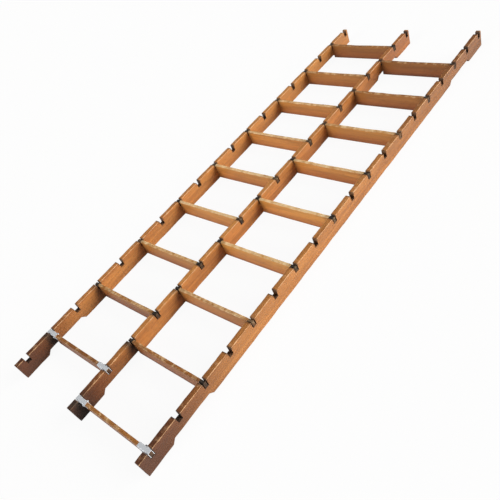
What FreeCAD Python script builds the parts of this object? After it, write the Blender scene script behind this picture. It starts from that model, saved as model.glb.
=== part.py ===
"""Three-rail wooden ladder frame with two staggered rows of board rungs.

The frame lies flat. X runs across the three rails, Y runs along them, and Z is up from the rails'
lower edges. The origin is under the middle rail, half way along it. Every rail has the same row of
notches in its top edge. The right row of rungs uses the even slots and the left row the odd ones.
"""
import FreeCAD, Part
import os
import re
import Sketcher
from FreeCAD import Placement, Rotation, Vector

# Driving dimensions in millimetres, with what each one measures.
sizes = {
    "slotpitch": (140, "distance between neighbouring notches along a rail"),
    "slotcount": (19, "notches in one rail"),
    "nearrun": (52, "rail beyond the centre of its first notch"),
    "farrun": (25, "rail beyond the centre of its last notch"),
    "railspacing": (402, "distance between the centre planes of two rails"),
    "railthick": (24, "rail thickness, across the frame"),
    "raildepth": (82, "rail height, on edge"),
    "railround": (2.5, "rounding of the rail's four long edges"),
    "notchwidth": (22, "width of a notch along the rail"),
    "notchdepth": (28, "depth of a notch below the rail's top edge"),
    "nearrecess": (122, "start of the near lower recess from the rail's near end"),
    "farrecess": (151, "start of the far lower recess from the rail's far end"),
    "recesslength": (220, "length of a lower recess at the rail's lower edge"),
    "recessrise": (18, "height of a lower recess, and run of its sloping ends"),
    "rungcount": (9, "rungs in one row"),
    "rungthick": (14, "rung thickness, along the frame"),
    "rungdepth": (78, "rung height, on edge"),
    "rungdrop": (4, "how far the rung's top lies below the rail's"),
    "runground": (1.5, "rounding of the rung's long edges"),
    "tonguelength": (23, "how far the rung's tongue reaches through a notch"),
    "dowelradius": (4, "radius of a dowel and of its holes"),
    "dowelheight": (30, "height of the dowel axis above the rail's lower edge"),
    "dowelinrail": (14, "dowel length inside the rail"),
    "dowelinrung": (26, "dowel length inside the rung"),
    "dowelslack": (1, "glue space beyond each end of a dowel"),
    "capthick": (2, "sheet thickness of the steel cap on a lowest rung's end"),
    "capreach": (36, "how far the cap covers the rung beyond the rail's face"),
    "capdrop": (24, "how far the cap's cheeks come down the rung's faces"),
    "boltradius": (2.5, "radius of a cap bolt's shank and of its hole"),
    "boltinset": (17, "distance of the bolt's axis from the rail's face"),
    "boltdrop": (15, "distance of the bolt's axis below the rung's top edge"),
    "headradius": (5.5, "radius of the bolt's round head"),
    "headheight": (3, "height of the bolt's head"),
    "nutflats": (8, "width of the nut across its flats"),
    "nutheight": (4, "thickness of the nut"),
    "boltend": (1.5, "bolt standing out beyond the nut"),
}

doc = FreeCAD.newDocument("LadderFrame")
sheet = doc.addObject("Spreadsheet::Sheet", "Sizes")
subparts = []


def fillSheet():
    """One row for each driving dimension: what it is, then its value under its alias."""
    for row, (alias, (value, meaning)) in enumerate(sizes.items(), start=1):
        sheet.set(f"A{row}", meaning)
        sheet.set(f"B{row}", str(value))
        sheet.setAlias(f"B{row}", alias)
    doc.recompute()


def inSheet(expression):
    """The same expression with each dimension's name pointing at the sheet."""
    return re.sub(r"[a-z]{3,}", lambda found: "Sizes." + found.group(0), str(expression))


def valueOf(expression):
    """The number that an expression gives now."""
    return float(sheet.evalExpression(inSheet(expression)))


def bind(target, **settings):
    """Bind properties of an object to expressions in the sheet."""
    for name, expression in settings.items():
        target.setExpression(name, inSheet(expression))


def newBody(label):
    body = doc.addObject("PartDesign::Body", label)
    body.Label = label
    subparts.append(body)
    return body


def place(target, east="0", north="0", up="0", turn=0):
    """Put a sub-part at a bound position, turned about the vertical by a fixed angle."""
    target.Placement = Placement(Vector(0, 0, 0), Rotation(Vector(0, 0, 1), turn))
    for axis, expression in (("x", east), ("y", north), ("z", up)):
        target.setExpression(f"Placement.Base.{axis}", inSheet(expression))


def originFeature(body, role):
    return next(feature for feature in body.Origin.OriginFeatures if feature.Role == role)


def newSketch(body, plane, offset=None):
    """A sketch on one of the body's own origin planes, or parallel to it at a bound distance."""
    sketch = body.newObject("Sketcher::SketchObject", "Sketch")
    sketch.AttachmentSupport = [(originFeature(body, plane), "")]
    sketch.MapMode = "FlatFace"
    if offset is not None:
        sketch.setExpression("AttachmentOffset.Base.z", inSheet(offset))
    return sketch


def pin(sketch, geometry, point, across, up):
    """Hold one sketch point at bound distances from the sketch's origin."""
    for kind, expression in (("DistanceX", across), ("DistanceY", up)):
        held = Sketcher.Constraint(kind, -1, 1, geometry, point, valueOf(expression))
        index = sketch.addConstraint(held)
        sketch.setExpression(f"Constraints[{index}]", inSheet(expression))


def outline(sketch, corners):
    """A closed outline of straight sides, each corner a pair of expressions."""
    points = [Vector(valueOf(across), valueOf(up), 0) for across, up in corners]
    for index, point in enumerate(points):
        following = points[(index + 1) % len(points)]
        sketch.addGeometry(Part.LineSegment(point, following), False)
    for index in range(len(points)):
        sketch.addConstraint(Sketcher.Constraint("Coincident", index, 2, (index + 1) % len(points), 1))
    for index, (across, up) in enumerate(corners):
        pin(sketch, index, 1, across, up)


def box(sketch, left, right, low, high):
    outline(sketch, [(left, low), (right, low), (right, high), (left, high)])


def circle(sketch, across, up, radius):
    centre = Vector(valueOf(across), valueOf(up), 0)
    sketch.addGeometry(Part.Circle(centre, Vector(0, 0, 1), valueOf(radius)), False)
    pin(sketch, 0, 3, across, up)
    index = sketch.addConstraint(Sketcher.Constraint("Radius", 0, valueOf(radius)))
    sketch.setExpression(f"Constraints[{index}]", inSheet(radius))


def pad(body, sketch, length, side="Symmetric"):
    feature = body.newObject("PartDesign::Pad", "Pad")
    feature.Profile = sketch
    feature.SideType = side
    bind(feature, Length=length)
    doc.recompute()
    return feature


def pocket(body, sketch, depth=None, reverse=False):
    """A cut that goes right through both ways, or a blind one of a bound depth."""
    before = body.Shape.Volume
    feature = body.newObject("PartDesign::Pocket", "Pocket")
    feature.Profile = sketch
    if depth is None:
        feature.SideType = "Symmetric"
        feature.Type = "ThroughAll"
    else:
        feature.Reversed = reverse
        bind(feature, Length=depth)
    doc.recompute()
    if body.Shape.Volume > before - 1:
        raise RuntimeError(f"{body.Label}: {feature.Name} cuts nothing")
    return feature


def repeat(body, original, length, count):
    """Repeat a feature evenly along the body's Y axis."""
    feature = body.newObject("PartDesign::LinearPattern", "Pattern")
    feature.Originals = [original]
    feature.Direction = (originFeature(body, "Y_Axis"), [""])
    bind(feature, Length=length, Occurrences=count)
    body.Tip = feature
    doc.recompute()


def mirror(body, original, plane):
    feature = body.newObject("PartDesign::Mirrored", "Mirror")
    feature.Originals = [original]
    feature.MirrorPlane = (originFeature(body, plane), [""])
    body.Tip = feature
    doc.recompute()


def roundEdges(body, base, radius, wanted):
    """Round the edges of a feature that the test picks."""
    names = [f"Edge{index}" for index, edge in enumerate(base.Shape.Edges, start=1) if wanted(edge)]
    feature = body.newObject("PartDesign::Fillet", "Fillet")
    feature.Base = (base, names)
    bind(feature, Radius=radius)
    doc.recompute()


def runsAlong(edge, direction):
    """Whether a straight edge lies along a direction."""
    chord = edge.Vertexes[-1].Point - edge.Vertexes[0].Point
    return abs(abs(chord.dot(direction)) - edge.Length) < 0.01


def slotPosition(slot):
    """How far along the frame a slot's centre is from the frame's middle."""
    return f"(({slot} - (slotcount - 1) / 2) * slotpitch + (nearrun - farrun) / 2)"


def dowelHoles(body, face, firstSlot):
    """Blind holes for the dowels of every second slot, in the rail's left (-1) or right (1) face."""
    sketch = newSketch(body, "YZ_Plane", f"{face} * railthick / 2")
    circle(sketch, slotPosition(firstSlot), "dowelheight", "dowelradius")
    hole = pocket(body, sketch, "dowelinrail + dowelslack", reverse=face < 0)
    repeat(body, hole, "2 * slotpitch * (rungcount - 1)", "rungcount")


def cutRecess(body, start):
    """A shallow recess with sloping ends in the rail's lower edge."""
    recess = newSketch(body, "YZ_Plane")
    outline(recess, [
        (f"{start} - recessrise", "-recessrise"),
        (f"{start} + recesslength + recessrise", "-recessrise"),
        (f"{start} + recesslength - recessrise", "recessrise"),
        (f"{start} + recessrise", "recessrise"),
    ])
    pocket(body, recess)


def makeRail(label, east, dowelFaces):
    """A plank on edge: notched along its top, recessed near both ends below, drilled for dowels."""
    body = newBody(label)
    section = newSketch(body, "XZ_Plane")
    box(section, "-railthick / 2", "railthick / 2", "0", "raildepth")
    plank = pad(body, section, "(slotcount - 1) * slotpitch + nearrun + farrun")
    roundEdges(body, plank, "railround", lambda edge: runsAlong(edge, Vector(0, 1, 0)))

    notch = newSketch(body, "YZ_Plane")
    first = slotPosition(0)
    box(notch, f"{first} - notchwidth / 2", f"{first} + notchwidth / 2",
        "raildepth - notchdepth", "raildepth + notchdepth")
    repeat(body, pocket(body, notch), "(slotcount - 1) * slotpitch", "slotcount")

    cutRecess(body, f"{first} - nearrun + nearrecess")
    cutRecess(body, f"{slotPosition('slotcount - 1')} + farrun - farrecess - recesslength")

    for face, firstSlot in dowelFaces:
        dowelHoles(body, face, firstSlot)
    place(body, east=east)


def makeRung(label, bay, slot, capped):
    """A thin board on edge between two rails. The tongues at its top corners sit in the notches."""
    body = newBody(label)
    shoulder = "(railspacing - railthick) / 2"
    tip = f"{shoulder} + tonguelength"
    board = newSketch(body, "XZ_Plane")
    outline(board, [
        (f"-({shoulder})", "0"),
        (shoulder, "0"),
        (shoulder, "rungdepth + rungdrop - notchdepth"),
        (tip, "rungdepth + rungdrop - notchdepth"),
        (tip, "rungdepth"),
        (f"-({tip})", "rungdepth"),
        (f"-({tip})", "rungdepth + rungdrop - notchdepth"),
        (f"-({shoulder})", "rungdepth + rungdrop - notchdepth"),
    ])
    plank = pad(body, board, "rungthick")
    longest = max(edge.Length for edge in plank.Shape.Edges)
    roundEdges(body, plank, "runground",
               lambda edge: runsAlong(edge, Vector(1, 0, 0)) and edge.Length > longest / 2)

    end = newSketch(body, "YZ_Plane", shoulder)
    circle(end, "0", "dowelheight - (raildepth - rungdrop - rungdepth)", "dowelradius")
    mirror(body, pocket(body, end, "dowelinrung + dowelslack"), "YZ_Plane")

    if capped:
        bolt = newSketch(body, "XZ_Plane")
        circle(bolt, f"{shoulder} - boltinset", "rungdepth - boltdrop", "boltradius")
        mirror(body, pocket(body, bolt), "YZ_Plane")
    place(body, f"{bay} * railspacing / 2", slotPosition(slot), "raildepth - rungdrop - rungdepth")


def makeCap(label, bay, slot, end):
    """A folded steel cap over the end of a lowest rung: a top strip and two cheeks."""
    body = newBody(label)
    shoulder = "(railspacing - railthick) / 2"
    channel = newSketch(body, "YZ_Plane", f"{shoulder} - capreach")
    outer = "rungthick / 2 + capthick"
    inner = "rungthick / 2"
    outline(channel, [
        (f"-({outer})", "rungdepth - capdrop"),
        (f"-({inner})", "rungdepth - capdrop"),
        (f"-({inner})", "rungdepth"),
        (inner, "rungdepth"),
        (inner, "rungdepth - capdrop"),
        (outer, "rungdepth - capdrop"),
        (outer, "rungdepth + capthick"),
        (f"-({outer})", "rungdepth + capthick"),
    ])
    folded = pad(body, channel, "capreach + tonguelength", side="One side")
    top = valueOf("rungdepth + capthick")
    roundEdges(body, folded, "capthick",
               lambda edge: runsAlong(edge, Vector(1, 0, 0)) and edge.Vertexes[0].Z > top - 0.01)
    bolt = newSketch(body, "XZ_Plane")
    circle(bolt, f"{shoulder} - boltinset", "rungdepth - boltdrop", "boltradius")
    pocket(body, bolt)
    place(body, f"{bay} * railspacing / 2", slotPosition(slot), "raildepth - rungdrop - rungdepth",
          turn=0 if end > 0 else 180)


def group(label, members):
    """One named sub-part that holds several separate, identical fasteners."""
    compound = doc.addObject("Part::Compound", label)
    compound.Label = label
    compound.Links = members
    subparts.append(compound)


def cylinder(name, radius, height, position, axis):
    """A bound cylinder that starts at a bound position and points along X or Y."""
    solid = doc.addObject("Part::Cylinder", name)
    bind(solid, Radius=radius, Height=height)
    direction = {"x": Vector(1, 0, 0), "y": Vector(0, 1, 0)}[axis]
    solid.Placement = Placement(Vector(0, 0, 0), Rotation(Vector(0, 0, 1), direction))
    for coordinate, expression in zip("xyz", position):
        solid.setExpression(f"Placement.Base.{coordinate}", inSheet(expression))
    return solid


def makeDowels(label, rail, sides):
    """The dowels that join one rail to its rungs. sides lists (side of the rail, first slot)."""
    members = []
    for side, firstSlot in sides:
        inside, outside = ("dowelinrail", "dowelinrung") if side > 0 else ("dowelinrung", "dowelinrail")
        for index in range(int(valueOf("rungcount"))):
            start = f"{rail} * railspacing + {side} * railthick / 2 - {inside}"
            position = (start, slotPosition(firstSlot + 2 * index), "dowelheight")
            members.append(cylinder("Dowel", "dowelradius", f"{inside} + {outside}", position, "x"))
    group(label, members)


def boltAxis(bay, slot, end):
    """Where a cap bolt crosses the middle of its rung."""
    reach = f"{end} * ((railspacing - railthick) / 2 - boltinset)"
    return f"{bay} * railspacing / 2 + {reach}", slotPosition(slot), "raildepth - rungdrop - boltdrop"


def makeBolt(bay, slot, end):
    """A bolt across the rung, its round head against the near cheek of the cap."""
    east, north, up = boltAxis(bay, slot, end)
    near = f"{north} - rungthick / 2 - capthick"
    shank = cylinder("Shank", "boltradius", "rungthick + 2 * capthick + nutheight + boltend",
                     (east, near, up), "y")
    head = cylinder("Head", "headradius", "headheight", (east, f"{near} - headheight", up), "y")
    crown = doc.addObject("Part::Fillet", "Crown")
    crown.Base = head
    doc.recompute()
    rim = min(range(len(head.Shape.Edges)),
              key=lambda index: head.Shape.Edges[index].CenterOfMass.y if
              len(head.Shape.Edges[index].Vertexes) == 1 else float("inf"))
    radius = 0.8 * valueOf("headheight")
    crown.Edges = [(rim + 1, radius, radius)]
    bolt = doc.addObject("Part::Fuse", "Bolt")
    bolt.Base = shank
    bolt.Tool = crown
    return bolt


def makeNut(bay, slot, end):
    """A hexagonal nut against the far cheek of the cap."""
    east, north, up = boltAxis(bay, slot, end)
    far = f"{north} + rungthick / 2 + capthick"
    prism = doc.addObject("Part::Prism", "Prism")
    prism.Polygon = 6
    bind(prism, Circumradius="nutflats / 1.7320508", Height="nutheight")
    prism.Placement = Placement(Vector(0, 0, 0), Rotation(Vector(0, 0, 1), Vector(0, 1, 0)))
    for coordinate, expression in zip("xyz", (east, far, up)):
        prism.setExpression(f"Placement.Base.{coordinate}", inSheet(expression))
    hole = cylinder("Thread", "boltradius", "nutheight", (east, far, up), "y")
    nut = doc.addObject("Part::Cut", "Nut")
    nut.Base = prism
    nut.Tool = hole
    return nut


def checkAndExport():
    """Refuse a failed object or a bad shape, then write each sub-part to its own file."""
    doc.recompute()
    for item in doc.Objects:
        if "Invalid" in item.State or "Error" in item.State:
            raise RuntimeError(f"{item.Label} has failed: {item.State}")
    os.makedirs("parts", exist_ok=True)
    for subpart in subparts:
        shape = subpart.Shape
        if shape.isNull() or not shape.isValid() or not shape.Solids:
            raise RuntimeError(f"{subpart.Label} has no valid solid")
        shape.exportStep(f"parts/{subpart.Label}.step")
        print(f"{subpart.Label}: {len(shape.Solids)} solid(s), {shape.Volume / 1000:.1f} cm3")


fillSheet()

# A dowel face is (side of the rail, first slot): odd slots face the left row, even slots the right.
leftRow = {"bay": -1, "firstSlot": 1}
rightRow = {"bay": 1, "firstSlot": 0}
makeRail("rail_left", "-railspacing", [(1, leftRow["firstSlot"])])
makeRail("rail_middle", "0", [(-1, leftRow["firstSlot"]), (1, rightRow["firstSlot"])])
makeRail("rail_right", "railspacing", [(-1, rightRow["firstSlot"])])

for name, row in (("left", leftRow), ("right", rightRow)):
    for index in range(int(valueOf("rungcount"))):
        slot = row["firstSlot"] + 2 * index
        makeRung(f"rung_{name}_{index + 1:02d}", row["bay"], slot, capped=index == 0)

makeDowels("dowels_left_rail", -1, [(1, leftRow["firstSlot"])])
makeDowels("dowels_middle_rail", 0, [(-1, leftRow["firstSlot"]), (1, rightRow["firstSlot"])])
makeDowels("dowels_right_rail", 1, [(-1, rightRow["firstSlot"])])

capEnds = [
    ("rung_cap_left_outer", leftRow, -1),
    ("rung_cap_left_inner", leftRow, 1),
    ("rung_cap_right_inner", rightRow, -1),
    ("rung_cap_right_outer", rightRow, 1),
]
for label, row, end in capEnds:
    makeCap(label, row["bay"], row["firstSlot"], end)
group("cap_bolts", [makeBolt(row["bay"], row["firstSlot"], end) for label, row, end in capEnds])
group("cap_nuts", [makeNut(row["bay"], row["firstSlot"], end) for label, row, end in capEnds])

checkAndExport()
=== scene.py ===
import math

import bpy
import numpy as np
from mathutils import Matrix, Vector


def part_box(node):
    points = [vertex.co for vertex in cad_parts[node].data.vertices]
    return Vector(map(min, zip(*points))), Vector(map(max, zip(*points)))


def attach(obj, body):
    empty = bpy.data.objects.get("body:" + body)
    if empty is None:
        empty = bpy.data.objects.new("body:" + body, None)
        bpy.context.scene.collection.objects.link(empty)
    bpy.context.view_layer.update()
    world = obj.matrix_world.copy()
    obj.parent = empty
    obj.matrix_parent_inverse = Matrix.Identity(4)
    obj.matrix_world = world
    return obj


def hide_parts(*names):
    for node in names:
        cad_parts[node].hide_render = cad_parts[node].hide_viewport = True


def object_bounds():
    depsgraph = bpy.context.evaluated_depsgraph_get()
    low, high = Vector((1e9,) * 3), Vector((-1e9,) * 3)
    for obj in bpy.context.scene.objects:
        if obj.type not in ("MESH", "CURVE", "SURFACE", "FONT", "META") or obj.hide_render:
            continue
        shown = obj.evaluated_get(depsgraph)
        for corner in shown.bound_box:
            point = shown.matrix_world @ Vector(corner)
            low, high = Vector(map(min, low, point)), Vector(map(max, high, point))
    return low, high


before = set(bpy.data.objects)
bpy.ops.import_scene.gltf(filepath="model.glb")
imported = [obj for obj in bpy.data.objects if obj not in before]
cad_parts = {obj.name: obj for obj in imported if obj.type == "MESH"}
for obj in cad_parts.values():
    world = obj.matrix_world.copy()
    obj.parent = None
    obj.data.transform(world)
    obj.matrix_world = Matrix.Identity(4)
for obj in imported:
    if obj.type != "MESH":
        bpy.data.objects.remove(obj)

cadBox = [list(corner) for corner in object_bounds()]
print("the packed ladder frame is loaded")


# helpers for nodes: an input given a socket is linked to it, and any other value becomes the input's own

def newNode(tree, kind, sockets=None, **settings):
    node = tree.nodes.new(kind)
    for name, value in settings.items():
        setattr(node, name, value)
    for name, value in (sockets or {}).items():
        if isinstance(value, bpy.types.NodeSocket):
            tree.links.new(value, node.inputs[name])
        else:
            node.inputs[name].default_value = value
    return node


def calculate(tree, operation, first, second=0.0, clamp=False):
    node = newNode(tree, "ShaderNodeMath", {0: first, 1: second}, operation=operation, use_clamp=clamp)
    return node.outputs[0]


def remap(tree, value, fromLow, fromHigh, toLow=0.0, toHigh=1.0):
    sockets = {"Value": value, "From Min": fromLow, "From Max": fromHigh, "To Min": toLow, "To Max": toHigh}
    return newNode(tree, "ShaderNodeMapRange", sockets).outputs["Result"]


def blendColours(tree, amount, first, second, blendType="MIX"):
    node = newNode(tree, "ShaderNodeMix", data_type="RGBA", blend_type=blendType)
    for index, value in ((0, amount), (6, first), (7, second)):
        if isinstance(value, bpy.types.NodeSocket):
            tree.links.new(value, node.inputs[index])
        else:
            node.inputs[index].default_value = value
    return node.outputs[2]


def noise(tree, vector, scale, detail=2.0, roughness=0.5, distortion=0.0):
    sockets = {"Vector": vector, "Scale": scale, "Detail": detail,
               "Roughness": roughness, "Distortion": distortion}
    return newNode(tree, "ShaderNodeTexNoise", sockets).outputs["Fac"]


def newGroup(name, inputs, outputs):
    group = bpy.data.node_groups.new(name, "ShaderNodeTree")
    kinds = {"vector": "NodeSocketVector", "colour": "NodeSocketColor", "number": "NodeSocketFloat"}
    for direction, sockets in (("INPUT", inputs), ("OUTPUT", outputs)):
        for label, kind in sockets:
            group.interface.new_socket(label, in_out=direction, socket_type=kinds[kind])
    return group, group.nodes.new("NodeGroupInput"), group.nodes.new("NodeGroupOutput")


def closeGroup(group, outputNode, results):
    for name, socket in results.items():
        group.links.new(socket, outputNode.inputs[name])
    return group


# in the effects below a noise is its scale, detail, roughness and distortion, as far as they are given,
# and a range is mapped to 0 to 1, or to its last two numbers where it has four

# wood: growth figure, fine streaks, open pores and slow blotches, all stretched along the grain

woodValues = {
    "seedShift": (3.7, 1.9, 5.3), "figureNoise": (24.0, 2.5, 0.45, 0.5), "figureRings": 21.0,
    "streakNoise": (150.0, 4.0, 0.62), "streakRange": (0.28, 0.72),
    "poreNoise": (640.0, 1.5), "poreRange": (0.56, 0.70),
    "blotchNoise": (7.0, 3.0), "blotchRange": (0.32, 0.68),
}


def makeWoodFigure(values):
    inputs = [("Vector", "vector"), ("Seed", "number")]
    outputs = [("Figure", "number"), ("Streaks", "number"), ("Pores", "number"), ("Blotches", "number")]
    group, given, out = newGroup("woodFigure", inputs, outputs)
    shift = newNode(group, "ShaderNodeCombineXYZ", {
        axis: calculate(group, "MULTIPLY", given.outputs["Seed"], factor)
        for axis, factor in zip("XYZ", values["seedShift"])
    }).outputs[0]
    moved = newNode(group, "ShaderNodeVectorMath", {0: given.outputs["Vector"], 1: shift},
                    operation="ADD").outputs[0]
    slow = noise(group, moved, *values["figureNoise"])
    rings = calculate(group, "SINE", calculate(group, "MULTIPLY", slow, values["figureRings"]))
    return closeGroup(group, out, {
        "Figure": remap(group, rings, -1.0, 1.0),
        "Streaks": remap(group, noise(group, moved, *values["streakNoise"]), *values["streakRange"]),
        "Pores": remap(group, noise(group, moved, *values["poreNoise"]), *values["poreRange"]),
        "Blotches": remap(group, noise(group, moved, *values["blotchNoise"]), *values["blotchRange"]),
    })


# handled edges and painted light on the tops: the mask follows the piece's own edge attribute, which also carries
# painted light on the flat tops, and breaks up with noise

edgeValues = {"breakNoise": (38.0, 4.0, 0.6), "breakAmount": 1.5, "maskRange": (0.35, 0.85)}


def makeEdgeWear(values):
    inputs = [("Vector", "vector"), ("Edge", "number"), ("Amount", "number")]
    group, given, out = newGroup("edgeWearAndTopLight", inputs, [("Mask", "number")])
    broken = noise(group, given.outputs["Vector"], *values["breakNoise"])
    centred = calculate(group, "SUBTRACT", broken, 0.5)
    reach = calculate(group, "ADD",
                      calculate(group, "MULTIPLY", given.outputs["Edge"], given.outputs["Amount"]),
                      calculate(group, "MULTIPLY", centred, values["breakAmount"]))
    return closeGroup(group, out, {"Mask": remap(group, reach, *values["maskRange"])})


# dark patches: painted shade, and on the rungs also darkening near the rails and low down, settles where the
# attribute says; old dirt lies in scattered marks elsewhere

grimeAndShadeValues = {
    "cloudNoise": (17.0, 5.0, 0.62), "cloudRange": (0.2, 0.62, 0.45, 1.0),
    "spotNoise": (62.0, 3.0, 0.7), "spotRange": (0.60, 0.74),
}


def makeGrimeAndShade(values):
    inputs = [("Vector", "vector"), ("Place", "number"), ("Amount", "number")]
    group, given, out = newGroup("grimeAndShade", inputs, [("Mask", "number")])
    clouds = remap(group, noise(group, given.outputs["Vector"], *values["cloudNoise"]), *values["cloudRange"])
    spots = remap(group, noise(group, given.outputs["Vector"], *values["spotNoise"]), *values["spotRange"])
    placedDarkening = calculate(group, "MULTIPLY", given.outputs["Place"], clouds)
    scattered = calculate(group, "MULTIPLY", spots, given.outputs["Amount"])
    return closeGroup(group, out, {"Mask": calculate(group, "MAXIMUM", placedDarkening, scattered, clamp=True)})


# varnished wood: dark and light grain, golden blotches, pale worn edges, painted light on the tops, brown dirt,
# and dark painted shade

varnishValues = {
    "figureShare": 0.42, "streakShare": 0.58, "goldenShare": 0.55, "poreShare": 0.45, "coat": 0.25,
    "streakRoughness": 0.14, "wearAndTopLightRoughness": 0.26, "dirtAndShadeRoughness": 0.24,
    "streakHeight": 0.6, "poreDepth": 0.7, "dirtAndShadeHeight": 0.5,
}


def makeVarnishedWood(figureGroup, wearAndTopLightGroup, grimeAndShadeGroup, values):
    inputs = [("Grain", "vector"), ("Place", "vector"), ("Seed", "number"), ("Tint", "colour"),
              ("Edge", "number"), ("DirtAndShade", "number"), ("Dark", "colour"), ("Light", "colour"),
              ("Golden", "colour"), ("WornAndLit", "colour"), ("GrimeAndShade", "colour"),
              ("Gloss roughness", "number"), ("WearAndTopLight", "number"), ("Marks", "number")]
    outputs = [("Color", "colour"), ("Roughness", "number"), ("Coat", "number"), ("Height", "number")]
    group, given, out = newGroup("varnishedWood", inputs, outputs)
    source = given.outputs

    def part(socket, share):
        return calculate(group, "MULTIPLY", socket, values[share])

    figure = newNode(group, "ShaderNodeGroup", node_tree=figureGroup,
                     sockets={"Vector": source["Grain"], "Seed": source["Seed"]}).outputs
    wearAndTopLight = newNode(group, "ShaderNodeGroup", node_tree=wearAndTopLightGroup, sockets={
        "Vector": source["Place"], "Edge": source["Edge"], "Amount": source["WearAndTopLight"]}).outputs[0]
    dirtAndShade = newNode(group, "ShaderNodeGroup", node_tree=grimeAndShadeGroup, sockets={
        "Vector": source["Place"], "Place": source["DirtAndShade"], "Amount": source["Marks"]}).outputs[0]
    grain = calculate(group, "ADD", part(figure["Figure"], "figureShare"), part(figure["Streaks"], "streakShare"))
    colour = blendColours(group, grain, source["Dark"], source["Light"])
    colour = blendColours(group, part(figure["Blotches"], "goldenShare"), colour, source["Golden"])
    colour = blendColours(group, part(figure["Pores"], "poreShare"), colour, source["Dark"])
    colour = blendColours(group, 1.0, colour, source["Tint"], "MULTIPLY")
    # the pale worn colour goes on handled edges and, as painted light, over the flat tops
    colour = blendColours(group, wearAndTopLight, colour, source["WornAndLit"])
    # the grime colour lays on painted shade where the attribute says, and real dirt in scattered marks
    colour = blendColours(group, dirtAndShade, colour, source["GrimeAndShade"])
    roughness = calculate(group, "ADD", source["Gloss roughness"], part(figure["Streaks"], "streakRoughness"))
    roughness = calculate(group, "ADD", roughness, part(wearAndTopLight, "wearAndTopLightRoughness"))
    roughness = calculate(group, "ADD", roughness, part(dirtAndShade, "dirtAndShadeRoughness"), clamp=True)
    bare = calculate(group, "MAXIMUM", wearAndTopLight, dirtAndShade)
    coat = part(calculate(group, "SUBTRACT", 1.0, bare, clamp=True), "coat")
    height = calculate(group, "SUBTRACT", part(figure["Streaks"], "streakHeight"),
                       part(figure["Pores"], "poreDepth"))
    height = calculate(group, "ADD", height, part(dirtAndShade, "dirtAndShadeHeight"))
    return closeGroup(group, out, {"Color": colour, "Roughness": roughness, "Coat": coat, "Height": height})


# zinc skin: soft spangles, cloudy dulling and fine rubbing marks

zincValues = {
    "cloudNoise": (55.0, 4.0, 0.6), "cloudRange": (0.3, 0.7), "rubStretch": (90.0, 900.0, 300.0),
    "rubNoise": (1.0, 3.0), "spangleShare": 0.45, "cloudShare": 0.55,
    "dullRoughness": 0.22, "rubRoughness": 0.12,
}


def makeZincSkin(values):
    inputs = [("Vector", "vector"), ("Bright", "colour"), ("Dull", "colour"),
              ("Smooth", "number"), ("Spangle", "number")]
    outputs = [("Color", "colour"), ("Roughness", "number"), ("Height", "number")]
    group, given, out = newGroup("zincSkin", inputs, outputs)
    place = given.outputs["Vector"]
    cells = newNode(group, "ShaderNodeTexVoronoi", {"Vector": place, "Scale": given.outputs["Spangle"]})
    shade = newNode(group, "ShaderNodeSeparateColor", {0: cells.outputs["Color"]}).outputs[0]
    clouds = remap(group, noise(group, place, *values["cloudNoise"]), *values["cloudRange"])
    stretched = newNode(group, "ShaderNodeMapping", {"Vector": place, "Scale": values["rubStretch"]}).outputs[0]
    rubbed = noise(group, stretched, *values["rubNoise"])
    mixture = calculate(group, "ADD", calculate(group, "MULTIPLY", shade, values["spangleShare"]),
                        calculate(group, "MULTIPLY", clouds, values["cloudShare"]))
    colour = blendColours(group, mixture, given.outputs["Bright"], given.outputs["Dull"])
    dulled = calculate(group, "MULTIPLY", mixture, values["dullRoughness"])
    roughness = calculate(group, "ADD", given.outputs["Smooth"], dulled)
    scratched = calculate(group, "MULTIPLY", rubbed, values["rubRoughness"])
    roughness = calculate(group, "ADD", roughness, scratched, clamp=True)
    return closeGroup(group, out, {"Color": colour, "Roughness": roughness,
                                   "Height": calculate(group, "ADD", shade, rubbed)})


varnishedWood = makeVarnishedWood(makeWoodFigure(woodValues), makeEdgeWear(edgeValues),
                                  makeGrimeAndShade(grimeAndShadeValues), varnishValues)
zincSkin = makeZincSkin(zincValues)

woodLooks = {
    "railWood": {
        "stretch": (1.0, 0.05, 1.0), "dark": (0.31, 0.100, 0.026, 1), "light": (0.68, 0.270, 0.066, 1),
        # the near-black grime colour here is mostly painted shade: dark notches, a dark near end and the rungs'
        # shadows
        "golden": (0.70, 0.330, 0.088, 1), "worn": (0.74, 0.430, 0.220, 1), "grimeAndShade": (0.034, 0.025, 0.018, 1),
        "roughness": 0.36, "wearAndTopLight": 0.85, "marks": 0.35, "ownMesh": True,
    },
    "rungWood": {
        "stretch": (0.06, 1.0, 1.0), "dark": (0.34, 0.125, 0.030, 1), "light": (0.73, 0.340, 0.078, 1),
        # the pale worn colour also paints light over the rung tops, and the grime colour paints shade on the
        # tongues
        "golden": (0.77, 0.420, 0.100, 1), "worn": (0.90, 0.640, 0.340, 1), "grimeAndShade": (0.034, 0.025, 0.018, 1),
        "roughness": 0.38, "wearAndTopLight": 0.80, "marks": 0.30, "ownMesh": True,
    },
    "dowelWood": {
        "stretch": (0.08, 1.0, 1.0), "dark": (0.46, 0.270, 0.120, 1), "light": (0.70, 0.490, 0.270, 1),
        "golden": (0.66, 0.430, 0.210, 1), "worn": (0.74, 0.560, 0.350, 1), "grimeAndShade": (0.120, 0.070, 0.040, 1),
        "roughness": 0.55, "wearAndTopLight": 0.0, "marks": 0.15, "ownMesh": False,
    },
}


woodFinish = {"bumpStrength": 0.35, "bumpDistance": 0.0006, "coatRoughness": 0.22, "specular": 0.45}


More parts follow.
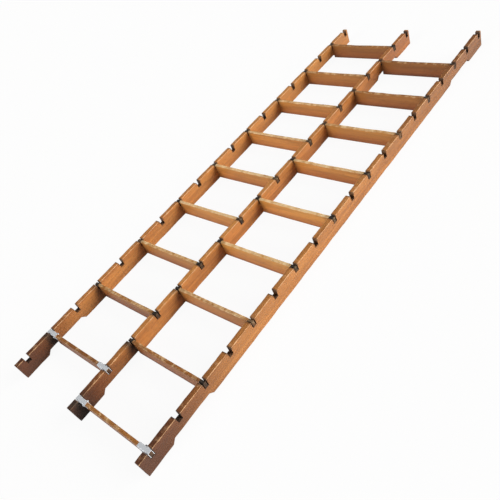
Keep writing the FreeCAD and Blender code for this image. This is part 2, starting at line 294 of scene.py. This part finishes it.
def makeWoodMaterial(name, look):
    material = bpy.data.materials.new(name)
    material.use_nodes = True
    tree = material.node_tree
    shader = tree.nodes["Principled BSDF"]
    place = newNode(tree, "ShaderNodeTexCoord").outputs["Object"]
    grain = newNode(tree, "ShaderNodeMapping", {"Vector": place, "Scale": look["stretch"]}).outputs[0]
    sockets = {
        "Grain": grain, "Place": place, "Tint": (1, 1, 1, 1), "Dark": look["dark"], "Light": look["light"],
        "Golden": look["golden"], "WornAndLit": look["worn"], "GrimeAndShade": look["grimeAndShade"],
        "Gloss roughness": look["roughness"], "WearAndTopLight": look["wearAndTopLight"], "Marks": look["marks"],
    }
    if look["ownMesh"]:
        for socket, attribute, output in (("Seed", "seed", "Fac"), ("Tint", "tintAndShade", "Color"),
                                          ("Edge", "edge", "Fac"), ("DirtAndShade", "dirtAndShade", "Fac")):
            sockets[socket] = newNode(tree, "ShaderNodeAttribute", attribute_name=attribute).outputs[output]
    wood = newNode(tree, "ShaderNodeGroup", node_tree=varnishedWood, sockets=sockets).outputs
    bump = newNode(tree, "ShaderNodeBump", {
        "Strength": woodFinish["bumpStrength"], "Distance": woodFinish["bumpDistance"], "Height": wood["Height"],
    })
    for target, socket in (("Base Color", wood["Color"]), ("Roughness", wood["Roughness"]),
                           ("Coat Weight", wood["Coat"]), ("Normal", bump.outputs[0])):
        tree.links.new(socket, shader.inputs[target])
    shader.inputs["Coat Roughness"].default_value = woodFinish["coatRoughness"]
    shader.inputs["Specular IOR Level"].default_value = woodFinish["specular"]
    return material


zincLooks = {
    "capSteel": {
        "bright": (0.95, 0.97, 1.0, 1), "dull": (0.80, 0.84, 0.90, 1), "smooth": 0.30, "spangle": 210.0,
    },
    "fastenerSteel": {
        "bright": (0.70, 0.74, 0.78, 1), "dull": (0.40, 0.42, 0.44, 1), "smooth": 0.26, "spangle": 900.0,
    },
}
zincFinish = {"bumpStrength": 0.2, "bumpDistance": 0.0003, "metallic": 0.4}


def makeZincMaterial(name, look):
    material = bpy.data.materials.new(name)
    material.use_nodes = True
    tree = material.node_tree
    shader = tree.nodes["Principled BSDF"]
    place = newNode(tree, "ShaderNodeTexCoord").outputs["Object"]
    zinc = newNode(tree, "ShaderNodeGroup", node_tree=zincSkin, sockets={
        "Vector": place, "Bright": look["bright"], "Dull": look["dull"],
        "Smooth": look["smooth"], "Spangle": look["spangle"],
    }).outputs
    bump = newNode(tree, "ShaderNodeBump", {
        "Strength": zincFinish["bumpStrength"], "Distance": zincFinish["bumpDistance"], "Height": zinc["Height"],
    })
    for target, socket in (("Base Color", zinc["Color"]), ("Roughness", zinc["Roughness"]),
                           ("Normal", bump.outputs[0])):
        tree.links.new(socket, shader.inputs[target])
    shader.inputs["Metallic"].default_value = zincFinish["metallic"]
    return material


materials = {name: makeWoodMaterial(name, look) for name, look in woodLooks.items()}
materials.update({name: makeZincMaterial(name, look) for name, look in zincLooks.items()})
print("materials are made")


# shapes

driftValues = {"sines": 6, "gain": 1.6}


def drift(at, seed, shortest, longest):
    # a smooth random line about 0: the mean of a few sines with lengths between the two, times a gain
    rng = np.random.default_rng(seed)
    lengths = rng.uniform(shortest, longest, driftValues["sines"])
    phases = rng.uniform(0, 2 * np.pi, driftValues["sines"])
    return np.sin(at[:, None] * 2 * np.pi / lengths + phases).mean(1) * driftValues["gain"]


def driftShare(at, seed, shortest, longest):
    # the same line about a half, kept from 0 to 1
    return (0.5 + 0.5 * drift(at, seed, shortest, longest)).clip(0, 1)


def smoothStep(value, low, high):
    # 0 below low, 1 above high, and 3t^2 - 2t^3 between
    t = np.clip((value - low) / (high - low), 0, 1)
    return t * t * (3 - 2 * t)


# where a plank's flat sides have points, as shares of the way from low to high
sideLevels = np.array([0.08, 0.3, 0.6, 0.82, 0.92])
sharpAngle = 40


def roundedProfile(half, low, high, lowRound, highRound, perCorner):
    # four quarter circles joined by straight sides: each is its centre plus its radius times (cos, sin),
    # and a side's points lie at fixed shares of the way from its lower corner to its upper one
    quarter = np.linspace(0, np.pi / 2, perCorner)
    rising = (low + lowRound)[:, None] + (high - highRound - low - lowRound)[:, None] * sideLevels
    flat = np.zeros(len(sideLevels))
    across, up, edge = [], [], []
    for corner, (side, top) in enumerate(((1, False), (1, True), (-1, True), (-1, False))):
        radius = (highRound if top else lowRound)[:, None]
        angle = quarter + (corner - 1) * np.pi / 2
        level = (high[:, None] - radius) if top else (low[:, None] + radius)
        across.append(side * (half[:, None] - radius) + radius * np.cos(angle))
        up.append(level + radius * np.sin(angle))
        edge.append(np.sin(2 * quarter))
        if corner in (0, 2):
            across.append(np.broadcast_to(side * half[:, None], rising.shape))
            up.append(rising if corner == 0 else rising[:, ::-1])
            edge.append(flat)
    return np.concatenate(across, 1), np.concatenate(up, 1), np.concatenate(edge)


def quarterInset(distance, radius):
    # how far a rounded end draws in at a distance from the end: radius - sqrt(radius^2 - (radius - d)^2)
    rest = np.clip(radius - distance, 0, radius)
    return radius - np.sqrt(radius ** 2 - rest ** 2)


def closedMesh(name, rings):
    # rings is stations x points x 3: neighbouring rings are joined by quads and both ends are closed
    stations, points = rings.shape[:2]
    first = (np.arange(stations - 1)[:, None] * points + np.arange(points)).ravel()
    following = (np.arange(stations - 1)[:, None] * points + (np.arange(points) + 1) % points).ravel()
    quads = np.stack([first, following, following + points, first + points], 1).tolist()
    ends = [list(range(points))[::-1], [(stations - 1) * points + index for index in range(points)]]
    mesh = bpy.data.meshes.new(name)
    mesh.from_pydata(rings.reshape(-1, 3).tolist(), [], quads + ends)
    mesh.polygons.foreach_set("use_smooth", np.ones(len(mesh.polygons), bool))
    mesh.set_sharp_from_angle(angle=math.radians(sharpAngle))
    return mesh


def addNumbers(mesh, name, values):
    attribute = mesh.attributes.new(name, "FLOAT", "POINT")
    attribute.data.foreach_set("value", np.ascontiguousarray(values, np.float32).ravel())


def addTintAndShade(mesh, colours):
    attribute = mesh.attributes.new("tintAndShade", "FLOAT_COLOR", "POINT")
    full = np.concatenate([colours, np.ones((len(colours), 1))], 1)
    attribute.data.foreach_set("color", full.astype(np.float32).ravel())


def placePiece(name, mesh, material, node):
    piece = bpy.data.objects.new(name, mesh)
    bpy.context.scene.collection.objects.link(piece)
    mesh.materials.append(material)
    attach(piece, "root")
    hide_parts(node)


rungNames = [name for name in sorted(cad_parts) if name.startswith("rung_") and "cap" not in name]
rungBoxes = {name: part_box(name) for name in rungNames}
rungPlace = {name: (low.y + high.y) / 2 for name, (low, high) in rungBoxes.items()}
slotPitch = (rungPlace["rung_right_02"] - rungPlace["rung_right_01"]) / 2
firstSlot = rungPlace["rung_right_01"]
slotCount = 19


# a rail: a rounded plank carried along y; its top drops into each notch and its underside rises in each recess

railValues = {
    "notchWidth": 0.022, "notchDepth": 0.028, "lip": 0.0014,
    "nearRecess": 0.122, "farRecess": 0.151, "recessLength": 0.220, "recessRise": 0.018,
    "rounding": 0.0026, "edgeLoss": 0.0016, "topLoss": 0.0007, "sideLoss": 0.0004,
    "roundingRange": (-0.6, 1), "floorRounding": 0.0006,
    "endRounding": 0.0018, "endSteps": (0.0, 0.0002, 0.0006, 0.0011), "endMargin": 0.004,
    "lipSteps": (0.0, 0.12, 0.35, 0.65, 1.0), "wallStep": 0.00002,
    "stationStep": 0.007, "pointsPerCorner": 5,
    "seeds": {"rail_left": 3, "rail_middle": 7, "rail_right": 12}, "seedScale": 0.37,
    "topDrift": (0, 0.05, 0.4), "sideDrift": (40, 0.2, 0.9),
    "upperDrift": (80, 0.03, 0.25), "lowerDrift": (90, 0.03, 0.25),
    # painted shade: the rails' colour darkens towards the near end
    "nearShadeTint": (0.27, 0.190, 0.20),
    "farTint": {
        "rail_left": (0.84, 0.80, 0.78), "rail_middle": (0.76, 0.68, 0.66), "rail_right": (0.56, 0.54, 0.56),
    },
    "midTint": {
        "rail_left": (1.02, 1.03, 1.03), "rail_middle": (1.05, 1.04, 1.0), "rail_right": (0.94, 0.93, 0.90),
    },
    "nearShadeFade": {"rail_left": (0.05, 0.46), "rail_middle": (0.04, 0.44), "rail_right": (0.04, 0.66)},
    "farFade": {"rail_left": (0.12, 0.45), "rail_middle": (0.12, 0.60), "rail_right": (0.02, 1.45)},
    # painted light: the flat top of each rail and each rung is made paler
    "topLight": 0.35, "topDepth": 0.003,
    # painted shade: dark colour in and around the notches, at the near end, and beside the joints
    "rimReach": (0.0005, 0.006), "rimFade": (0.016, 0.004), "notchShade": 0.95, "floorMargin": 0.001,
    "nearEndShade": {"rail_left": 0.40, "rail_middle": 0.95, "rail_right": 0.40},
    "nearEndShadeFade": {"rail_left": (0.02, 0.30), "rail_middle": (0.02, 0.15), "rail_right": (0.02, 0.30)},
    "leftEnds": {"rail_left": "rung_left", "rail_middle": "rung_right"},
    # painted shadow: dark bands on the rail just before each rung's left end
    "cornerShadow": 2.2, "cornerLeast": 0.20, "cornerFade": 0.32,
    "cornerRise": (-0.004, 0.004), "cornerFall": (0.012, 0.058),
}


def recessStarts(near, far, values):
    return near + values["nearRecess"], far - values["farRecess"] - values["recessLength"]


def railStations(near, far, slots, values):
    # where the plank has rings: close together at the notches' walls and the ends, evenly spaced between
    wall = values["notchWidth"] / 2
    step = values["wallStep"]
    offsets = np.concatenate([[wall - step], wall + values["lip"] * np.array(values["lipSteps"])])
    walls = (slots[:, None] + np.concatenate([-offsets, offsets, [0.0]])).ravel()
    ends = np.array([*values["endSteps"], values["endRounding"]])
    breaks = []
    for start in recessStarts(near, far, values):
        breaks += [start, start + values["recessRise"],
                   start + values["recessLength"] - values["recessRise"], start + values["recessLength"]]
    even = np.arange(near + values["endMargin"], far - values["endMargin"], values["stationStep"])
    every = np.sort(np.concatenate([walls, near + ends, far - ends, breaks, even]))
    every = every[(every >= near) & (every <= far)]
    return every[np.concatenate([[True], np.diff(every) > step / 2])]


def railTop(y, slots, top, values):
    # the plank's top, less a quarter-round lip beside each notch, or the notch's floor inside it
    wall = values["notchWidth"] / 2
    lip = values["lip"]
    away = np.abs(y[:, None] - slots).min(1)
    rest = np.clip(lip - (away - wall), 0, lip)
    inside = away < wall - values["wallStep"] / 2
    return np.where(inside, top - values["notchDepth"], top - lip + np.sqrt(lip ** 2 - rest ** 2)), inside


def railUnderside(y, near, far, values):
    # zero, raised by each recess, which climbs at 45 degrees to its full height
    rise = np.zeros_like(y)
    for start in recessStarts(near, far, values):
        inward = np.minimum(y - start, start + values["recessLength"] - y)
        rise = np.maximum(rise, np.clip(inward, 0, values["recessRise"]))
    return rise


def railCornerShadow(node, y, near, values):
    # painted shadow cast by the rung, just before each joint with a rung's left end: its least strength, plus a
    # part that falls off exponentially from the near end of the frame
    if node not in values["leftEnds"]:
        return np.zeros_like(y)
    joints = np.array([rungPlace[name] for name in rungNames if name.startswith(values["leftEnds"][node])])
    before = joints - y[:, None]
    strength = values["cornerLeast"] + values["cornerShadow"] * np.exp(-(joints - near) / values["cornerFade"])
    band = smoothStep(before, *values["cornerRise"]) * (1 - smoothStep(before, *values["cornerFall"]))
    return (band * strength).max(1).clip(0, 1)


def makeRail(node, values):
    low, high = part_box(node)
    seed = values["seeds"][node]
    slots = firstSlot + slotPitch * np.arange(slotCount)
    y = railStations(low.y, high.y, slots, values)

    def wander(line, choice):
        offset, shortest, longest = values[choice]
        return line(y, seed + offset, shortest, longest)

    top, inside = railTop(y, slots, high.z, values)
    under = railUnderside(y, low.y, high.y, values) + low.z
    atEnd = quarterInset(np.minimum(y - low.y, high.y - y), values["endRounding"])
    topLoss = values["topLoss"] * wander(driftShare, "topDrift")
    sideLoss = values["sideLoss"] * wander(driftShare, "sideDrift")
    least, most = values["roundingRange"]
    upperRound = values["rounding"] + values["edgeLoss"] * wander(drift, "upperDrift").clip(least, most)
    upperRound = np.where(inside, values["floorRounding"], upperRound)
    lowerRound = values["rounding"] + values["edgeLoss"] * wander(drift, "lowerDrift").clip(least, most)
    half = (high.x - low.x) / 2 - sideLoss - atEnd
    across, up, edge = roundedProfile(half, under + atEnd, top - topLoss * ~inside - atEnd,
                                      lowerRound, upperRound, values["pointsPerCorner"])
    centre = (low.x + high.x) / 2
    rings = np.stack([centre - across, np.broadcast_to(y[:, None], across.shape), up], 2)
    mesh = closedMesh(node + "_plank", rings)

    # wear on the edges and painted light over the flat top, none in the notches
    paintedRailTopLight = values["topLight"] * (up > high.z - values["topDepth"])
    wearAndTopLight = np.maximum(edge[None, :], paintedRailTopLight) * (~inside)[:, None]
    # painted shade in and around the notches and at the near end, and painted shadow of the rungs beside the
    # joints
    toNotch = np.clip(np.abs(y[:, None] - slots).min(1) - values["notchWidth"] / 2, 0, None)
    rim = (1 - smoothStep(toNotch, *values["rimReach"]))[:, None]
    fadeFrom, fadeTo = values["rimFade"]
    rimHeight = np.where(inside[:, None], up > high.z - values["notchDepth"] - values["floorMargin"],
                         smoothStep(up, high.z - fadeFrom, high.z - fadeTo))
    # painted shade: the near end of the rail is darkened
    nearEndShade = values["nearEndShade"][node] * (1 - smoothStep(y - low.y, *values["nearEndShadeFade"][node]))
    along = np.maximum(nearEndShade, railCornerShadow(node, y, low.y, values))
    # the edge attribute holds real edge wear and painted light on the top
    addNumbers(mesh, "edge", wearAndTopLight)
    addNumbers(mesh, "dirtAndShade", np.maximum(values["notchShade"] * rim * rimHeight, along[:, None]))
    addNumbers(mesh, "seed", np.full(across.shape, seed * values["seedScale"]))

    # the plank's colour: its middle tint, with painted shade darkening it towards the near end, and darker again
    # towards the far one
    fromNear = smoothStep(y - low.y, *values["nearShadeFade"][node])[:, None]
    fromFar = smoothStep(high.y - y, *values["farFade"][node])[:, None]
    tintAndShade = np.array(values["nearShadeTint"]) * (1 - fromNear) + np.array(values["midTint"][node]) * fromNear
    tintAndShade = tintAndShade * (np.array(values["farTint"][node]) * (1 - fromFar) + fromFar)
    addTintAndShade(mesh, np.repeat(tintAndShade, across.shape[1], 0))
    placePiece(node + "_plank", mesh, materials["railWood"], node)


for name in ("rail_left", "rail_middle", "rail_right"):
    makeRail(name, railValues)
print("rails are carved")


# a rung: a rounded board carried along x; beyond each shoulder only its tongue goes on into the notch

rungValues = {
    "rounding": 0.0019, "edgeLoss": 0.0011, "topLoss": 0.0009, "sideLoss": 0.0003,
    "roundingRange": (-0.6, 1), "tongueRounding": 0.0008,
    "footLoss": 0.0012, "footReach": 0.09, "footRounding": 0.0009, "footRoundingReach": 0.11,
    "endRounding": 0.001, "endSteps": (0.0, 0.0002, 0.0005), "endMargins": (0.004, 0.003),
    "shoulderStep": 0.00001, "stationStep": 0.009, "pointsPerCorner": 5,
    "firstSeed": 100, "seedStep": 20, "leftRowSeed": 7, "seedScale": 0.173,
    "topDrift": (0, 0.03, 0.3), "sideDrift": (3, 0.1, 0.5), "upperDrift": (5, 0.03, 0.2),
    # painted light on the rung tops and painted shade on the tongues
    "topLight": 0.85, "topDepth": 0.006, "tongueShade": 0.95,
    "nearRailDarkening": 0.35, "jointReach": 0.035, "lowDarkening": 0.45, "lowReach": 0.022,
    # painted shade low on each board and painted light high on it
    "lowShadeTint": (0.86, 0.62, 0.60), "highLightTint": (1.06, 1.0, 0.95), "tintMargin": 0.003,
    "greenTone": (0.74, 0.26), "blueTone": (0.84, 0.16),
    # painted light and shade: each rung's brightness, darker towards both ends of the frame
    "lightLevels": {
        "rung_right": (0.56, 0.60, 0.80, 1.02, 1.10, 0.98, 0.80, 0.61, 0.48),
        "rung_left": (0.50, 0.58, 0.80, 1.02, 1.04, 1.02, 0.84, 0.67, 0.52),
    },
}


def rungStations(low, high, shoulders, values):
    ends = np.array([*values["endSteps"], values["endRounding"]])
    step = values["shoulderStep"]
    steps = np.array([shoulder + side for shoulder in shoulders for side in (-step, step)])
    lowMargin, highMargin = values["endMargins"]
    even = np.arange(low + lowMargin, high - highMargin, values["stationStep"])
    every = np.sort(np.concatenate([low + ends, high - ends, steps, even]))
    return every[np.concatenate([[True], np.diff(every) > step / 2])]


def makeRung(node, values):
    low, high = rungBoxes[node]
    row, number = node.rsplit("_", 1)
    index = int(number) - 1
    inLeftRow = row == "rung_left"
    seed = values["firstSeed"] + values["seedStep"] * index + (values["leftRowSeed"] if inLeftRow else 0)
    leftRail, rightRail = ("rail_left", "rail_middle") if inLeftRow else ("rail_middle", "rail_right")
    shoulders = (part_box(leftRail)[1].x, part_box(rightRail)[0].x)
    x = rungStations(low.x, high.x, shoulders, values)

    def wander(line, choice):
        offset, shortest, longest = values[choice]
        return line(x, seed + offset, shortest, longest)

    tongue = (x < shoulders[0]) | (x > shoulders[1])
    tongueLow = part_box(leftRail)[1].z - railValues["notchDepth"]
    fromCentre = x - sum(shoulders) / 2
    atEnd = quarterInset(np.minimum(x - low.x, high.x - x), values["endRounding"])
    # feet have worn the middle of the top: lower and rounder there, by a bell curve in x
    worn = values["topLoss"] * wander(driftShare, "topDrift")
    worn += values["footLoss"] * np.exp(-(fromCentre / values["footReach"]) ** 2)
    sideLoss = values["sideLoss"] * wander(driftShare, "sideDrift")
    least, most = values["roundingRange"]
    upperRound = values["rounding"] + values["edgeLoss"] * wander(drift, "upperDrift").clip(least, most)
    upperRound += values["footRounding"] * np.exp(-(fromCentre / values["footRoundingReach"]) ** 2)
    lowerRound = np.where(tongue, values["tongueRounding"], values["rounding"])
    half = (high.y - low.y) / 2 - sideLoss - atEnd
    under = np.where(tongue, tongueLow, low.z) + atEnd
    across, up, edge = roundedProfile(half, under, high.z - worn - atEnd, lowerRound, upperRound,
                                      values["pointsPerCorner"])
    middle = (low.y + high.y) / 2
    rings = np.stack([np.broadcast_to(x[:, None], across.shape), middle + across, up], 2)
    mesh = closedMesh(node + "_board", rings)

    # painted light over the top and wear on its edges, both less on the darker rungs; painted shade on the tongues
    # in the notches, and darker near the rails and low down
    lightLevel = values["lightLevels"][row][index]
    centreHeight = (low.z + high.z) / 2
    paintedTopLight = values["topLight"] * lightLevel * (up > high.z - values["topDepth"])
    toRail = np.minimum(np.abs(x - shoulders[0]), np.abs(x - shoulders[1]))
    nearRailDarkening = values["nearRailDarkening"] * (1 - smoothStep(toRail, 0.0, values["jointReach"]))
    # painted shade: the tongues inside the notches are darkened
    nearRailDarkening += values["tongueShade"] * tongue
    lowDarkening = values["lowDarkening"] * (1 - smoothStep(up - low.z, 0.0, values["lowReach"]))
    # the edge attribute holds real edge wear and painted light over the top
    addNumbers(mesh, "edge", np.maximum(edge * lightLevel * (up > centreHeight), paintedTopLight))
    addNumbers(mesh, "dirtAndShade", np.maximum(nearRailDarkening[:, None], lowDarkening))
    addNumbers(mesh, "seed", np.full(across.shape, seed * values["seedScale"]))

    # painted light and shade on the board: its light level, redder as it darkens, times a tint painted darker low
    # down and lighter high up
    (greenBase, greenGain), (blueBase, blueGain) = values["greenTone"], values["blueTone"]
    tintAndShade = np.array((lightLevel, lightLevel * (greenBase + greenGain * lightLevel), lightLevel * (blueBase + blueGain * lightLevel)))
    margin = values["tintMargin"]
    height = smoothStep(up, low.z + margin, high.z - margin).reshape(-1, 1)
    addTintAndShade(mesh, tintAndShade * (np.array(values["lowShadeTint"]) * (1 - height) + np.array(values["highLightTint"]) * height))
    placePiece(node + "_board", mesh, materials["rungWood"], node)


for name in rungNames:
    makeRung(name, rungValues)
print("rungs are cut")


# the dowels, caps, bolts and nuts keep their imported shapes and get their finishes

for name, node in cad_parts.items():
    finish = None
    if name.startswith("dowels_"):
        finish = "dowelWood"
    elif name.startswith("rung_cap_"):
        finish = "capSteel"
    elif name in ("cap_bolts", "cap_nuts"):
        finish = "fastenerSteel"
    if finish:
        node.data.materials.clear()
        node.data.materials.append(materials[finish])
print("fittings are finished")


# floor, light and camera

studioValues = {
    "floorSize": 30.0, "floorPoints": 7, "floorGap": 0.0005,
    "floorColour": (0.93, 0.93, 0.93, 1), "floorGlow": 0.93,
    "worldColour": (0.86, 0.93, 1.0, 1), "worldStrength": 0.15, "backdropStrength": 1.0,
    "key": {"from": (1.20, 1.15, 0.56), "energy": 4.0, "softness": 50.0, "colour": (1.0, 0.955, 0.89)},
    "front": {"from": (-0.12, -1.0, 0.50), "energy": 2.0, "softness": 30.0, "colour": (1, 1, 1)},
}


def makeFloor(values):
    # a flat square grid just under the rails
    count = values["floorPoints"]
    line = np.linspace(-values["floorSize"] / 2, values["floorSize"] / 2, count)
    x, y = np.meshgrid(line, line, indexing="ij")
    points = np.stack([x, y, np.full_like(x, cadBox[0][2] - values["floorGap"])], 2).reshape(-1, 3)
    corner = (np.arange(count - 1)[:, None] * count + np.arange(count - 1)).ravel()
    faces = np.stack([corner, corner + count, corner + count + 1, corner + 1], 1)
    mesh = bpy.data.meshes.new("floor")
    mesh.from_pydata(points.tolist(), [], faces.tolist())
    floor = bpy.data.objects.new("floor", mesh)
    bpy.context.scene.collection.objects.link(floor)
    material = bpy.data.materials.new("paleFloor")
    material.use_nodes = True
    tree = material.node_tree
    tree.nodes.clear()
    matte = newNode(tree, "ShaderNodeBsdfDiffuse", {"Color": values["floorColour"]}).outputs[0]
    glow = newNode(tree, "ShaderNodeEmission", {"Color": (1, 1, 1, 1), "Strength": 1.0}).outputs[0]
    seen = newNode(tree, "ShaderNodeLightPath").outputs["Is Camera Ray"]
    share = calculate(tree, "MULTIPLY", seen, values["floorGlow"])
    mixed = newNode(tree, "ShaderNodeMixShader", {0: share, 1: matte, 2: glow}).outputs[0]
    # from below the floor is clear, so the underside of the frame can be looked at
    below = newNode(tree, "ShaderNodeNewGeometry").outputs["Backfacing"]
    clear = newNode(tree, "ShaderNodeBsdfTransparent").outputs[0]
    shown = newNode(tree, "ShaderNodeMixShader", {0: calculate(tree, "MULTIPLY", seen, below), 1: mixed, 2: clear})
    newNode(tree, "ShaderNodeOutputMaterial", {"Surface": shown.outputs[0]})
    mesh.materials.append(material)


def addSun(name, values):
    # a soft distant light that shines from its place towards the origin
    light = bpy.data.lights.new(name, "SUN")
    light.energy = values["energy"]
    light.angle = math.radians(values["softness"])
    light.color = values["colour"]
    lamp = bpy.data.objects.new(name, light)
    bpy.context.scene.collection.objects.link(lamp)
    place = Vector(values["from"])
    lamp.location = place
    lamp.rotation_euler = (-place).to_track_quat("-Z", "Y").to_euler()


makeFloor(studioValues)
for name in ("key", "front"):
    addSun(name, studioValues[name])

world = bpy.data.worlds.new("studio")
world.use_nodes = True
world.node_tree.nodes["Background"].inputs["Color"].default_value = studioValues["worldColour"]
# what the camera sees beyond the floor is as pale as the floor; the light it gives is much weaker
cameraSees = newNode(world.node_tree, "ShaderNodeLightPath").outputs["Is Camera Ray"]
worldLight = remap(world.node_tree, cameraSees, 0.0, 1.0,
                   studioValues["worldStrength"], studioValues["backdropStrength"])
world.node_tree.links.new(worldLight, world.node_tree.nodes["Background"].inputs["Strength"])
bpy.context.scene.world = world
bpy.context.scene.view_settings.view_transform = "Standard"

cameraValues = {
    "place": (1.58816, -1.34655, 1.58342), "turn": (45.502, 19.019, 38.489), "lens": 39.921, "sensor": 36,
}
cameraData = bpy.data.cameras.new("camera")
cameraData.sensor_width = cameraValues["sensor"]
cameraData.lens = cameraValues["lens"]
camera = bpy.data.objects.new("camera", cameraData)
bpy.context.scene.collection.objects.link(camera)
camera.location = cameraValues["place"]
camera.rotation_euler = [math.radians(angle) for angle in cameraValues["turn"]]
bpy.context.scene.camera = camera
print("studio is set")
